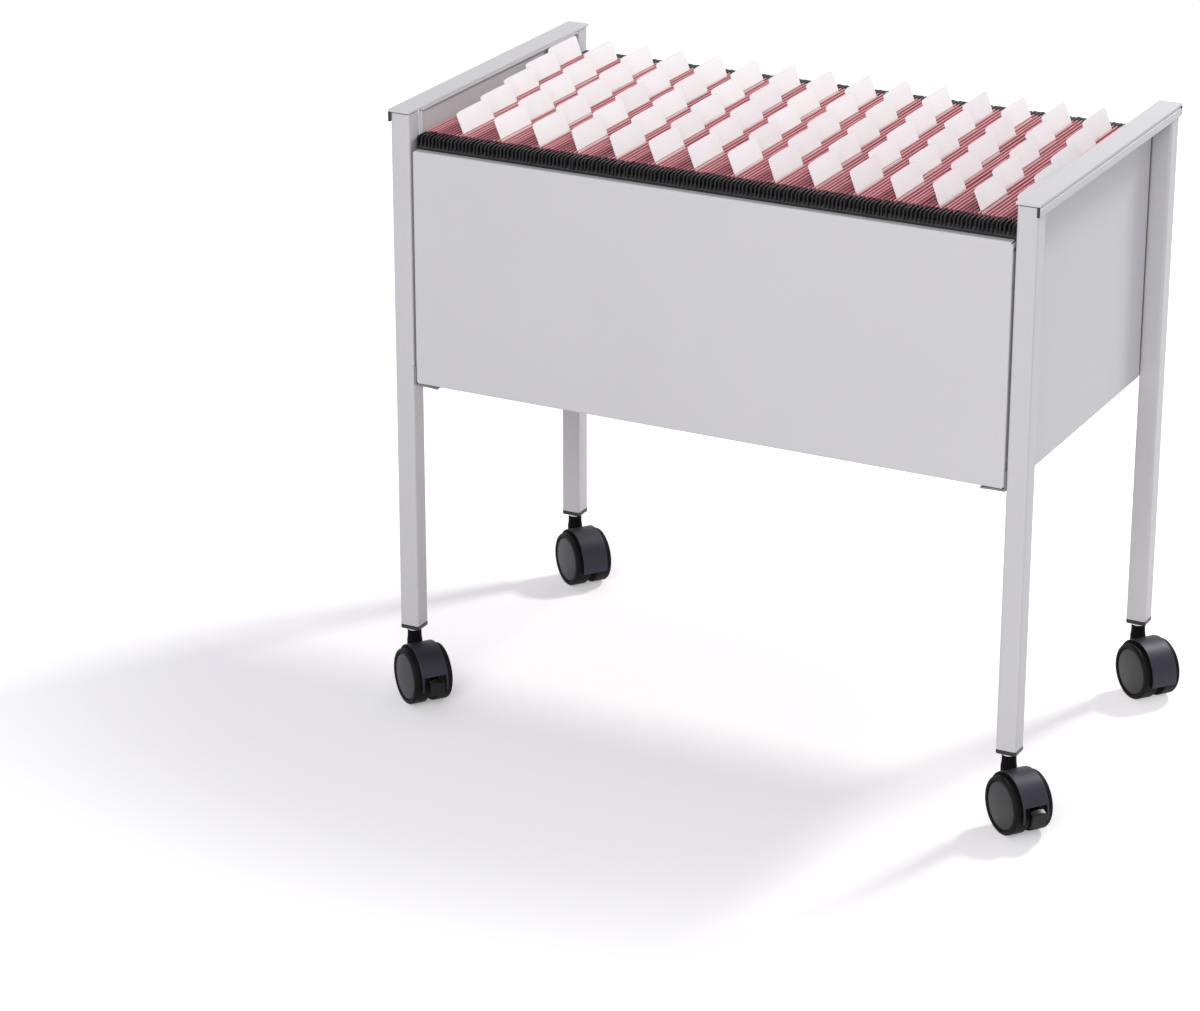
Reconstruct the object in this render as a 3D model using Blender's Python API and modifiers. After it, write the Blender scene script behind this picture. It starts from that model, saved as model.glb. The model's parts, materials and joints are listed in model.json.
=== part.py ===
"""Hanging file trolley.

Four square tube legs, joined in pairs by a cap along each side, carry four folded sheet panels.
Two rails stand behind the long panels, and packs of suspension files hang between them.
Each leg stands on a hooded twin-wheel castor, and the front pair of castors has brake levers.
Metres, +Z up, +X along the long side, the front towards -Y.
"""

import math

import bmesh
import bpy
from mathutils import Matrix, Vector

# Clearances between separate pieces, and how far a cut runs past what it cuts
fit_gap = 0.0003
cut_overrun = 0.001

# Points closer than this are one point, flatter angles than these are flat or smooth
weld_distance = 0.000001
flat_angle = math.radians(0.5)
smooth_angle = math.radians(30)

# Frame of square tube, measured over the legs, with the top of the caps as its height
frame_length = 0.650
frame_depth = 0.360
frame_height = 0.600
leg_side = 0.020
leg_wall = 0.0015
leg_corner_radius = 0.0025
leg_corner_steps = 3

# Angle section cap along each side: a plate on the legs and a skirt down their outer side
cap_thickness = 0.0025
cap_overhang = 0.001
cap_skirt_height = 0.012
cap_skirt_thickness = 0.0015

# Folded sheet panels
sheet_thickness = 0.0012
long_panel_height = 0.232
long_panel_drop = 0.038
long_panel_fold = 0.008
long_panel_setback = 0.0005
long_panel_side_gap = 0.0025
side_panel_fold = 0.004
side_panel_recess = 0.0185
side_panel_end_gap = 0.0015

# Brackets under the corners of the long panels
bracket_length = 0.025
bracket_depth = 0.0125
bracket_height = 0.018
bracket_thickness = 0.0019
bracket_setback = 0.001

# Hanging rails
rail_thickness = 0.004
rail_height = 0.015
rail_rise = 0.0063
rail_foot_thickness = 0.002

# Packs of suspension files
pack_count = 15
files_in_pack = 5
file_end_clearance = 0.0006
file_height = 0.238
folder_end_gap = 0.0012
ridge_width = 0.0030
ridge_offset_share = 0.15
ridge_cover = 0.0006
between_files_depth = 0.016
file_foot_rise = 0.006
valley_bow = 0.002
file_foot_half_width_share = 0.18
bar_pair_thickness = 0.0022
bar_height = 0.0075
bar_root = 0.003
hook_side_gap = 0.0004
hook_tip_width = 0.0025
hook_drop = 0.003

# Label tabs, one on each file, stepping from the back to the front within a pack
tab_length = 0.060
tab_height = 0.023
tab_root = 0.003
tab_thickness = 0.0008
tab_foot_offset = 0.0009
tab_run_share = 0.68

# Castors, turned alike about their stems
castor_height = 0.075
castor_turn = math.radians(-37)
castor_trail = 0.020
tread_radius = 0.028
wheel_width = 0.017
wheel_steps = 24
wheel_shoulder_radius = 0.0255
wheel_shoulder_drop = 0.0006
wheel_edge = 0.0025
wheel_inner_edge = 0.001
wheel_dish_radius = 0.018
wheel_dish_depth = 0.0008
wheel_bore_depth = 0.012
web_thickness = 0.007
wheel_side_gap = 0.0005
hood_width = 0.031
hood_clearance = 0.0005
hood_wall = 0.0016
hood_back_angle = math.radians(-40)
hood_front_angle = math.radians(155)
hood_steps = 13
well_steps = 32
hub_radius = 0.009
hub_angles = [math.radians(angle) for angle in (178, 215, 250, 285, 310)]
collar_radius = 0.00725
collar_top = 0.069
collar_bottom = 0.040
stem_bore_bottom = 0.054
stem_radius = 0.004
axle_radius = 0.003
round_gap = 0.0003
small_steps = 16
insert_flange = 0.0025
insert_depth = 0.028
insert_bore_cover = 0.006

# Brake levers
brake_pivot_forward = 0.021
brake_pivot_drop = 0.006
brake_pin_radius = 0.0013
brake_pocket_forward = 0.0155
brake_pocket_below = 0.012
brake_pocket_above = 0.013
brake_arm_thickness = 0.0046
brake_arm_root = 0.0025
brake_arm_top = 0.010
brake_pedal_width = 0.017
brake_pedal_thickness = 0.0052
brake_pedal_height = 0.015
brake_pedal_lip = 0.0015
brake_pedal_gap = 0.0007
brake_pedal_rise = 0.001

# Places worked out from the sizes above
leg_axis_x = frame_length / 2 - leg_side / 2
leg_axis_y = frame_depth / 2 - leg_side / 2
leg_inner_x = frame_length / 2 - leg_side
leg_inner_y = frame_depth / 2 - leg_side
leg_top = frame_height - cap_thickness - fit_gap
long_panel_face = frame_depth / 2 - long_panel_setback
long_panel_back = long_panel_face - sheet_thickness
long_panel_top = frame_height - long_panel_drop
panel_underside = long_panel_top - long_panel_height
rail_outer_y = long_panel_face - long_panel_fold - fit_gap
rail_inner_y = rail_outer_y - rail_thickness
rail_top = long_panel_top + rail_rise
side_panel_face = frame_length / 2 - side_panel_recess
files_half_length = side_panel_face - side_panel_fold - file_end_clearance
pack_pitch = 2 * files_half_length / pack_count
file_pitch = (pack_pitch - fit_gap) / files_in_pack
folder_half_width = rail_inner_y - folder_end_gap
bar_bottom = rail_top + fit_gap
bar_top = bar_bottom + bar_height
ridge_top = bar_top + ridge_cover
hook_reach = rail_outer_y + hook_side_gap + hook_tip_width
tread_corner_radius = tread_radius / math.cos(math.pi / wheel_steps)
well_radius = (tread_corner_radius + hood_clearance) / math.cos(math.pi / well_steps)
hood_radius = well_radius + hood_wall
wheel_inner_face = web_thickness / 2 + wheel_side_gap
axle_half_length = wheel_inner_face + wheel_bore_depth - fit_gap
insert_top = castor_height + insert_depth
stem_top = insert_top - insert_bore_cover - fit_gap

corners = [(side, end) for side in (-1, 1) for end in (-1, 1)]
side_names = {-1: "left", 1: "right"}
end_names = {-1: "front", 1: "rear"}


def clear_scene():
    for obj in list(bpy.data.objects):
        bpy.data.objects.remove(obj)


def new_collection(name):
    collection = bpy.data.collections.new(name)
    bpy.context.scene.collection.children.link(collection)
    return collection


def new_material(name, colour, roughness, metallic):
    material = bpy.data.materials.new(name)
    material.use_nodes = True
    shader = material.node_tree.nodes["Principled BSDF"]
    shader.inputs["Base Color"].default_value = (*colour, 1)
    shader.inputs["Roughness"].default_value = roughness
    shader.inputs["Metallic"].default_value = metallic
    return material


def mesh_from(bm, name):
    """Turns a bmesh into a mesh with smooth round sides and sharp edges."""
    mesh = bpy.data.meshes.new(name)
    bm.to_mesh(mesh)
    bm.free()
    smooth(mesh)
    return mesh


def smooth(mesh):
    mesh.shade_smooth()
    mesh.set_sharp_from_angle(angle=smooth_angle)


def box_mesh(name, low, high):
    bm = bmesh.new()
    bmesh.ops.create_cube(bm, size=1)
    size = [top - bottom for bottom, top in zip(low, high)]
    centre = [(top + bottom) / 2 for bottom, top in zip(low, high)]
    bmesh.ops.scale(bm, vec=size, verts=bm.verts)
    bmesh.ops.translate(bm, vec=centre, verts=bm.verts)
    return mesh_from(bm, name)


def cylinder_mesh(name, radius, low, high, axis, centre, steps):
    """A cylinder along axis, "Y" or "Z", between the places low and high on it."""
    bm = bmesh.new()
    bmesh.ops.create_cone(
        bm, cap_ends=True, segments=steps, radius1=radius, radius2=radius, depth=high - low
    )
    half_step = Matrix.Rotation(math.pi / steps, 4, "Z")
    along = Matrix.Translation((0, 0, (low + high) / 2))
    turn = Matrix.Rotation(-math.pi / 2, 4, "X") if axis == "Y" else Matrix.Identity(4)
    bm.transform(Matrix.Translation(centre) @ turn @ along @ half_step)
    return mesh_from(bm, name)


def prism_mesh(name, outlines, thickness, plane):
    """A flat outline, with any holes, given its thickness across the plane.

    In plane "XY" the thickness is along Z, in "XZ" along Y and in "YZ" along X,
    and the outline's two coordinates are those of the plane's letters.
    """
    curve = bpy.data.curves.new(name, "CURVE")
    curve.dimensions = "2D"
    curve.fill_mode = "BOTH"
    curve.extrude = thickness / 2
    for outline in outlines:
        spline = curve.splines.new("POLY")
        spline.points.add(len(outline) - 1)
        for point, (first, second) in zip(spline.points, outline):
            point.co = (first, second, 0, 1)
        spline.use_cyclic_u = True
    helper = bpy.data.objects.new(name, curve)
    bpy.context.scene.collection.objects.link(helper)
    mesh = baked(helper, name)
    bpy.data.objects.remove(helper)
    bm = bmesh.new()
    bm.from_mesh(mesh)
    bmesh.ops.remove_doubles(bm, verts=bm.verts, dist=weld_distance)
    bmesh.ops.dissolve_degenerate(bm, dist=weld_distance, edges=bm.edges)
    bmesh.ops.dissolve_limit(bm, angle_limit=flat_angle, verts=bm.verts, edges=bm.edges)
    if plane == "XZ":
        bm.transform(Matrix.Rotation(math.pi / 2, 4, "X"))
    if plane == "YZ":
        bm.transform(Matrix.Rotation(math.pi / 2, 4, "Z") @ Matrix.Rotation(math.pi / 2, 4, "X"))
    bm.to_mesh(mesh)
    bm.free()
    smooth(mesh)
    return mesh


def baked(obj, name):
    """The evaluated mesh of an object, modifiers included."""
    bpy.context.view_layer.update()
    graph = bpy.context.evaluated_depsgraph_get()
    mesh = bpy.data.meshes.new_from_object(obj.evaluated_get(graph))
    mesh.name = name
    return mesh


def turned_mesh(name, profile, steps, start):
    """Turns a profile of (radius, height) points about Z, from the direction start."""
    mesh = bpy.data.meshes.new(name)
    points = [(r * math.cos(start), r * math.sin(start), z) for r, z in profile]
    edges = [(i, i + 1) for i in range(len(profile) - 1)]
    mesh.from_pydata(points, edges, [])
    helper = bpy.data.objects.new(name, mesh)
    bpy.context.scene.collection.objects.link(helper)
    screw = helper.modifiers.new("turn", "SCREW")
    screw.steps = steps
    screw.render_steps = steps
    screw.use_merge_vertices = True
    screw.merge_threshold = weld_distance
    turned = baked(helper, name)
    bpy.data.objects.remove(helper)
    smooth(turned)
    return turned


def combined(name, first, steps):
    """Joins and cuts meshes in turn. Each step is an operation and the mesh that it takes."""
    helper = bpy.data.objects.new(name, first)
    parts.objects.link(helper)
    tools = []
    for operation, mesh in steps:
        tool = bpy.data.objects.new(mesh.name, mesh)
        tool.hide_render = True
        tool.display_type = "WIRE"
        cutters.objects.link(tool)
        tools.append(tool)
        modifier = helper.modifiers.new(operation.lower(), "BOOLEAN")
        modifier.operation = operation
        modifier.solver = "EXACT"
        modifier.object = tool
    mesh = baked(helper, name)
    for obj in [helper, *tools]:
        bpy.data.objects.remove(obj)
    smooth(mesh)
    return mesh


def place(name, mesh, material, location=(0, 0, 0), parent=None):
    obj = bpy.data.objects.new(name, mesh)
    if not mesh.materials:
        mesh.materials.append(material)
    parts.objects.link(obj)
    obj.parent = parent or trolley
    obj.location = location
    return obj


def place_axis(name, location, parent):
    """An empty that marks a joint's axis and carries what turns on it."""
    axis = bpy.data.objects.new(name, None)
    axis.empty_display_size = leg_side
    parts.objects.link(axis)
    axis.parent = parent
    axis.location = location
    return axis


def rounded_square(side, radius, steps):
    points = []
    for quarter in range(4):
        middle = math.pi / 4 + quarter * math.pi / 2
        reach = math.sqrt(2) * (side / 2 - radius)
        centre = Vector((math.cos(middle), math.sin(middle))) * reach
        for step in range(steps + 1):
            angle = quarter * math.pi / 2 + math.pi / 2 * step / steps
            points.append(tuple(centre + radius * Vector((math.cos(angle), math.sin(angle)))))
    return points


def square(side):
    half = side / 2
    return [(half, half), (-half, half), (-half, -half), (half, -half)]


def leg_mesh():
    outer = rounded_square(leg_side, leg_corner_radius, leg_corner_steps)
    inner = square(leg_side - 2 * leg_wall)
    return prism_mesh("leg", [outer, inner], leg_top - castor_height, "XY")


def add_legs():
    mesh = leg_mesh()
    for side, end in corners:
        location = (side * leg_axis_x, end * leg_axis_y, (leg_top + castor_height) / 2)
        place(f"{end_names[end]}_{side_names[side]}_leg", mesh, frame_paint, location)


def add_caps():
    inner = leg_inner_x - cap_overhang
    skirt_inner = frame_length / 2 + fit_gap
    outer = skirt_inner + cap_skirt_thickness
    underside = frame_height - cap_thickness
    skirt_bottom = frame_height - cap_skirt_height
    outline = [
        (inner, underside),
        (skirt_inner, underside),
        (skirt_inner, skirt_bottom),
        (outer, skirt_bottom),
        (outer, frame_height),
        (inner, frame_height),
    ]
    mesh = prism_mesh("cap", [outline], frame_depth + 2 * cap_overhang, "XZ")
    for side in (-1, 1):
        cap = place(f"{side_names[side]}_top_cap", mesh, frame_paint)
        cap.rotation_euler.z = 0 if side > 0 else math.pi


def folded_panel_mesh(name, width, height, fold):
    """A sheet with its four edges folded back: face at y = 0, folds towards +Y, centred in X and Z."""
    bm = bmesh.new()
    bmesh.ops.create_cube(bm, size=1)
    bmesh.ops.scale(bm, vec=(width, fold, height), verts=bm.verts)
    bmesh.ops.translate(bm, vec=(0, fold / 2, 0), verts=bm.verts)
    back = [face for face in bm.faces if face.normal.y > 0 and face.calc_center_median().y > fold / 2]
    bmesh.ops.delete(bm, geom=back, context="FACES_ONLY")
    helper = bpy.data.objects.new(name, mesh_from(bm, name))
    bpy.context.scene.collection.objects.link(helper)
    thicken = helper.modifiers.new("sheet", "SOLIDIFY")
    thicken.thickness = sheet_thickness
    thicken.offset = -1
    thicken.use_even_offset = True
    mesh = baked(helper, name)
    bpy.data.objects.remove(helper)
    smooth(mesh)
    return mesh


def add_panels():
    width = 2 * (leg_inner_x - long_panel_side_gap)
    mesh = folded_panel_mesh("long_panel", width, long_panel_height, long_panel_fold)
    middle = panel_underside + long_panel_height / 2
    for end in (-1, 1):
        panel = place(f"{end_names[end]}_panel", mesh, panel_paint, (0, end * long_panel_face, middle))
        panel.rotation_euler.z = 0 if end < 0 else math.pi
    width = 2 * (leg_inner_y - side_panel_end_gap)
    height = leg_top - panel_underside
    mesh = folded_panel_mesh("side_panel", width, height, side_panel_fold)
    middle = panel_underside + height / 2
    for side in (-1, 1):
        panel = place(f"{side_names[side]}_panel", mesh, panel_paint, (side * side_panel_face, 0, middle))
        panel.rotation_euler.z = side * math.pi / 2


def add_brackets():
    """Angle brackets: one leaf under the panel's corner, and one up beside the leg."""
    leg_face = leg_inner_x - fit_gap
    top = panel_underside - fit_gap
    outline = [
        (leg_face, top - bracket_thickness),
        (leg_face, top + bracket_height),
        (leg_face - bracket_thickness, top + bracket_height),
        (leg_face - bracket_thickness, top),
        (leg_face - bracket_length, top),
        (leg_face - bracket_length, top - bracket_thickness),
    ]
    mesh = prism_mesh("bracket", [outline], bracket_depth, "XZ")
    reach = frame_depth / 2 - bracket_setback - bracket_depth / 2
    for side, end in corners:
        name = f"{end_names[end]}_{side_names[side]}_bracket"
        bracket = place(name, mesh, bracket_paint, (0, end * reach, 0))
        bracket.rotation_euler.z = 0 if side > 0 else math.pi


def add_rails():
    """Rails of angle section: a blade from leg to leg for the hooks, and a foot inside the long panel."""
    bottom = rail_top - rail_height
    blade_end = leg_inner_x - fit_gap
    foot_end = leg_inner_x - long_panel_side_gap - sheet_thickness - fit_gap
    blade = box_mesh("blade", (-blade_end, rail_inner_y, bottom), (blade_end, rail_outer_y, rail_top))
    foot_low = (-foot_end, rail_inner_y + rail_thickness / 2, bottom)
    foot_high = (foot_end, long_panel_back - fit_gap, bottom + rail_foot_thickness)
    mesh = combined("rail", blade, [("UNION", box_mesh("foot", foot_low, foot_high))])
    for end in (-1, 1):
        rail = place(f"{end_names[end]}_hanging_rail", mesh, black_plastic)
        rail.rotation_euler.z = 0 if end > 0 else math.pi


def file_centres():
    first = -file_pitch * (files_in_pack - 1) / 2
    return [first + file_pitch * index for index in range(files_in_pack)]


def ridge_centre(file_centre):
    return file_centre + file_pitch * ridge_offset_share


def valley(x, height):
    """Where two files meet, at this height in the outermost files and bowed up towards the pack's middle."""
    half_pack = file_pitch * files_in_pack / 2
    return (x, height + valley_bow * (1 - (x / half_pack) ** 2))


def folders_outline():
    """End view of the folders in one pack, hanging side by side: closed ridges above, folded feet below."""
    half_pitch = file_pitch / 2
    foot = file_pitch * file_foot_half_width_share
    bottom = ridge_top - file_height
    valley_above = ridge_top - between_files_depth
    valley_below = bottom + file_foot_rise
    upper, lower = [], []
    for centre in file_centres():
        ridge = ridge_centre(centre)
        upper += [
            valley(centre - half_pitch, valley_above),
            (ridge - ridge_width / 2, ridge_top),
            (ridge + ridge_width / 2, ridge_top),
        ]
        lower += [
            valley(centre - half_pitch, valley_below),
            (centre - foot, bottom),
            (centre + foot, bottom),
        ]
    last = file_centres()[-1] + half_pitch
    upper.append(valley(last, valley_above))
    lower.append(valley(last, valley_below))
    return upper + lower[::-1]


def hook_outline(end):
    """Side view of one end of a file's pair of hanging bars: it crosses the rail and turns down."""
    root = folder_half_width - bar_root
    tip_inner = hook_reach - hook_tip_width
    points = [
        (root, bar_bottom),
        (tip_inner, bar_bottom),
        (tip_inner, bar_bottom - hook_drop),
        (hook_reach, bar_bottom - hook_drop),
        (hook_reach, bar_top),
        (root, bar_top),
    ]
    return [(end * y, z) for y, z in points]


def moved(mesh, matrix):
    mesh.transform(matrix)
    return mesh


def tab_mesh(index):
    """A leaning label tab whose foot is set in the ridge of its file."""
    run = file_pitch * tab_run_share
    lean = math.asin(run / tab_height)
    rows = files_in_pack - 1
    y = tab_length * (rows / 2 - index)
    low = (-tab_thickness / 2, -tab_length / 2, -tab_root)
    high = (tab_thickness / 2, tab_length / 2, tab_height * math.cos(lean))
    mesh = box_mesh("tab", low, high)
    foot = (ridge_centre(file_centres()[index]) + tab_foot_offset, y, ridge_top)
    return moved(mesh, Matrix.Translation(foot) @ Matrix.Rotation(-lean, 4, "Y"))


def pack_mesh():
    folders = prism_mesh("folders", [folders_outline()], 2 * folder_half_width, "XZ")
    steps = []
    for index, centre in enumerate(file_centres()):
        for end in (-1, 1):
            hook = prism_mesh("hook", [hook_outline(end)], bar_pair_thickness, "YZ")
            along = Matrix.Translation((ridge_centre(centre), 0, 0))
            steps.append(("UNION", moved(hook, along)))
        steps.append(("UNION", tab_mesh(index)))
    return combined("file_pack", folders, steps)


def add_file_packs():
    mesh = pack_mesh()
    first = -pack_pitch * (pack_count - 1) / 2
    for index in range(pack_count):
        place(f"file_pack_{index + 1:02d}", mesh, folder_card, (first + pack_pitch * index, 0, 0))


def wheel_mesh():
    """A wheel about Z with its inner face at z = 0, a dished outer face and a blind bore for the axle."""
    face = wheel_width
    corner = tread_corner_radius
    profile = [
        (0, face - wheel_dish_depth),
        (wheel_dish_radius, face),
        (wheel_shoulder_radius, face - wheel_shoulder_drop),
        (corner, face - wheel_edge),
        (corner, wheel_inner_edge),
        (corner - wheel_inner_edge, 0),
        (axle_radius + round_gap, 0),
        (axle_radius + round_gap, wheel_bore_depth),
        (0, wheel_bore_depth),
    ]
    return turned_mesh("wheel", profile, wheel_steps, math.pi / wheel_steps)


def polar(radius, angle):
    return (castor_trail + radius * math.cos(angle), tread_radius + radius * math.sin(angle))


def housing_outline():
    """Side view of the hood and web about the axle, open under the wheels."""
    sweep = hood_front_angle - hood_back_angle
    hood = [polar(hood_radius, hood_back_angle + sweep * i / hood_steps) for i in range(hood_steps + 1)]
    return hood + [polar(hub_radius, angle) for angle in hub_angles]


def housing_mesh(with_brake):
    blank = prism_mesh("hood", [housing_outline()], hood_width, "XZ")
    axle = (castor_trail, 0, tread_radius)
    stem_bore = stem_radius + round_gap
    axle_bore = axle_radius + round_gap
    outside = hood_width / 2 + cut_overrun
    web = web_thickness / 2
    steps = [
        (
            "UNION",
            cylinder_mesh("collar", collar_radius, collar_bottom, collar_top, "Z", (0, 0, 0), small_steps),
        ),
        ("DIFFERENCE", cylinder_mesh("well", well_radius, web, outside, "Y", axle, well_steps)),
        ("DIFFERENCE", cylinder_mesh("well", well_radius, -outside, -web, "Y", axle, well_steps)),
        (
            "DIFFERENCE",
            cylinder_mesh(
                "stem_bore",
                stem_bore,
                stem_bore_bottom,
                collar_top + cut_overrun,
                "Z",
                (0, 0, 0),
                small_steps,
            ),
        ),
        ("DIFFERENCE", cylinder_mesh("axle_bore", axle_bore, -outside, outside, "Y", axle, small_steps)),
    ]
    if with_brake:
        half_slot = brake_arm_thickness / 2 + fit_gap
        low = (
            castor_trail + brake_pocket_forward,
            -half_slot,
            tread_radius - brake_pocket_below,
        )
        high = (
            castor_trail + hood_radius + cut_overrun,
            half_slot,
            tread_radius + brake_pocket_above,
        )
        pivot = brake_pivot_place()
        pin_bore = brake_pin_radius + round_gap
        steps.append(("DIFFERENCE", box_mesh("brake_pocket", low, high)))
        steps.append(
            ("DIFFERENCE", cylinder_mesh("pin_bore", pin_bore, -outside, outside, "Y", pivot, small_steps))
        )
    return combined("castor_housing", blank, steps)


def brake_pivot_place():
    return (castor_trail + brake_pivot_forward, 0, tread_radius - brake_pivot_drop)


def lever_mesh():
    """A brake lever about its pivot pin: an arm through the hood, and a pedal outside it."""
    root = brake_arm_root
    pedal_inner = hood_radius - brake_pivot_forward + brake_pedal_gap
    pedal_outer = pedal_inner + brake_pedal_thickness
    pedal_top = brake_pedal_rise + brake_pedal_height
    into_pedal = pedal_inner + brake_pedal_thickness / 2
    arm = [
        (-root, -root),
        (root, -root),
        (into_pedal, brake_pedal_rise + brake_pedal_lip),
        (into_pedal, brake_arm_top),
        (-root, root),
    ]
    pedal = [
        (pedal_inner, brake_pedal_rise),
        (pedal_outer - brake_pedal_lip, brake_pedal_rise),
        (pedal_outer, brake_pedal_rise + brake_pedal_lip),
        (pedal_outer, pedal_top - brake_pedal_lip),
        (pedal_outer - brake_pedal_lip, pedal_top),
        (pedal_inner, pedal_top),
    ]
    pin_half = web_thickness / 2
    pin = cylinder_mesh("pin", brake_pin_radius, -pin_half, pin_half, "Y", (0, 0, 0), small_steps)
    steps = [("UNION", prism_mesh("pedal", [pedal], brake_pedal_width, "XZ")), ("UNION", pin)]
    return combined("brake_lever", prism_mesh("arm", [arm], brake_arm_thickness, "XZ"), steps)


def insert_mesh():
    """A plug that fills the foot of a leg, with a flange under it and a bore for the castor's stem."""
    side = leg_side / 2
    plug = leg_side / 2 - leg_wall - fit_gap
    flange_top = castor_height - fit_gap
    flange_bottom = flange_top - insert_flange
    flange = box_mesh("flange", (-side, -side, flange_bottom), (side, side, flange_top))
    body = box_mesh("plug", (-plug, -plug, flange_bottom + insert_flange / 2), (plug, plug, insert_top))
    bore_top = insert_top - insert_bore_cover
    bore_bottom = flange_bottom - cut_overrun
    bore = cylinder_mesh(
        "bore", stem_radius + round_gap, bore_bottom, bore_top, "Z", (0, 0, 0), small_steps
    )
    return combined("leg_insert", flange, [("UNION", body), ("DIFFERENCE", bore)])


def add_castors():
    plain_housing = housing_mesh(False)
    brake_housing = housing_mesh(True)
    wheel = wheel_mesh()
    insert = insert_mesh()
    lever = lever_mesh()
    stem = cylinder_mesh(
        "stem", stem_radius, stem_bore_bottom + fit_gap, stem_top, "Z", (0, 0, 0), small_steps
    )
    axle = cylinder_mesh(
        "axle", axle_radius, -axle_half_length, axle_half_length, "Y", (0, 0, 0), small_steps
    )
    for side, end in corners:
        label = f"{end_names[end]}_{side_names[side]}"
        foot = (side * leg_axis_x, end * leg_axis_y, 0)
        place(f"{label}_leg_insert", insert, black_plastic, foot)
        place(f"{label}_castor_stem", stem, bright_steel, foot)
        swivel = place_axis(f"{label}_swivel_axis", foot, trolley)
        swivel.rotation_euler.z = castor_turn
        housing = brake_housing if end < 0 else plain_housing
        place(f"{label}_castor_housing", housing, black_plastic, (0, 0, 0), swivel)
        axle_place = (castor_trail, 0, tread_radius)
        place(f"{label}_axle", axle, bright_steel, axle_place, swivel)
        for hand, turn in (("inner", -math.pi / 2), ("outer", math.pi / 2)):
            offset = wheel_inner_face if turn < 0 else -wheel_inner_face
            spot = (castor_trail, offset, tread_radius)
            rolling = place(f"{label}_{hand}_wheel", wheel, wheel_plastic, spot, swivel)
            rolling.rotation_euler.x = turn
        if end < 0:
            place(f"{label}_brake_lever", lever, black_plastic, brake_pivot_place(), swivel)


def stand_on_footprint():
    """Moves the whole trolley so that the middle of its footprint is at the origin."""
    bpy.context.view_layer.update()
    points = []
    for obj in parts.objects:
        if obj.type == "MESH":
            points += [obj.matrix_world @ vertex.co for vertex in obj.data.vertices]
    for axis in (0, 1):
        values = [point[axis] for point in points]
        trolley.location[axis] = -(min(values) + max(values)) / 2


clear_scene()
parts = new_collection("hanging_file_trolley")
cutters = new_collection("cutters")
trolley = bpy.data.objects.new("trolley_origin", None)
parts.objects.link(trolley)
frame_paint = new_material("frame_paint", (0.60, 0.60, 0.62), 0.40, 0.0)
panel_paint = new_material("panel_paint", (0.58, 0.58, 0.60), 0.45, 0.0)
bracket_paint = new_material("bracket_paint", (0.22, 0.22, 0.23), 0.5, 0.0)
black_plastic = new_material("black_plastic", (0.02, 0.02, 0.022), 0.4, 0.0)
wheel_plastic = new_material("wheel_plastic", (0.06, 0.06, 0.065), 0.5, 0.0)
bright_steel = new_material("bright_steel", (0.6, 0.6, 0.6), 0.25, 1.0)
folder_card = new_material("folder_card", (0.65, 0.12, 0.15), 0.8, 0.0)
add_legs()
add_caps()
add_panels()
add_brackets()
add_rails()
add_file_packs()
add_castors()
stand_on_footprint()
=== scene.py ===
"""Hanging file trolley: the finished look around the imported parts.

Square tube legs with a cap along each side, folded sheet panels, red hanging files on black
rails, and hooded twin-wheel castors. Each operator makes one group of pieces in its place.
"""

import json
import math
from functools import partial

import bmesh
import bpy
from bpy.props import FloatProperty, FloatVectorProperty, IntProperty, PointerProperty
from bpy.types import Operator, Panel, PropertyGroup
from mathutils import Matrix, Vector


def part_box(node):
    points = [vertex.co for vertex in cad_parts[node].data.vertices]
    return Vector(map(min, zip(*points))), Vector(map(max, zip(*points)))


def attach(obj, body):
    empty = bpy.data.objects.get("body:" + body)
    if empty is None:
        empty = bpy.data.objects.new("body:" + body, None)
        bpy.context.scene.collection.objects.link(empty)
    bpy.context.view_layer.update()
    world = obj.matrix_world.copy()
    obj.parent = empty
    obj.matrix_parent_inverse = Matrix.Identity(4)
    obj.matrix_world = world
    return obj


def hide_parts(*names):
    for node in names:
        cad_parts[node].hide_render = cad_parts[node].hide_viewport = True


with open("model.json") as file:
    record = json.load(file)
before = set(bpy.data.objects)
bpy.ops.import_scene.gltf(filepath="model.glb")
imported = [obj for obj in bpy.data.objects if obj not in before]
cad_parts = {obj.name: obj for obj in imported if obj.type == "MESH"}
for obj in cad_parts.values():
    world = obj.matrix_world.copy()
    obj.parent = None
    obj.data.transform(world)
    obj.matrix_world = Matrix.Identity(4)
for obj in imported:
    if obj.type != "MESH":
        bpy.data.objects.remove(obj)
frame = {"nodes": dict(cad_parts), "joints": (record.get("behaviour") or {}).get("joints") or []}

bl_info = {
    "name": "Hanging File Trolley",
    "version": (1, 0, 0),
    "blender": (4, 5, 0),
    "location": "View3D > Sidebar > Trolley",
    "description": "Makes the finished pieces of a hanging file trolley around its packed parts",
    "category": "Add Mesh",
}

MM = 0.001
CORNERS = [f"{end}_{side}" for end in ("front", "rear") for side in ("left", "right")]
BRAKED = CORNERS[:2]
PACKS = sorted(name for name in frame["nodes"] if name.startswith("file_pack"))
JOINTS = {joint["name"]: joint for joint in frame["joints"]}
WELD = 0.01 * MM
SHARP_ANGLE = math.radians(35)
STRAIGHT = math.radians(89)
BEND_STEPS = 6
RAIL_BLADE = 4 * MM
STEM_BORE = 4.3 * MM
AXLE_BORE = 3.3 * MM
WHITE = (1, 1, 1, 1)
AIM = Vector((-0.02, 0.01, 0.33))
LAMP_TONE = (1.0, 0.985, 0.94)
CAMERA_PLACE = (1.4997, -3.290, 1.639)
CAMERA_TURN = (90 - 21.68, 0, 27.42)


# Settings


def length(name, description, millimetres):
    default = millimetres * MM
    return FloatProperty(name=name, description=description, default=default, unit="LENGTH", precision=5)


def amount(name, description, default):
    return FloatProperty(name=name, description=description, default=default)


def colour(name, piece, default):
    return FloatVectorProperty(
        name=name, description=f"Colour of {piece}", default=default, subtype="COLOR", size=3, min=0, max=1
    )


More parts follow.
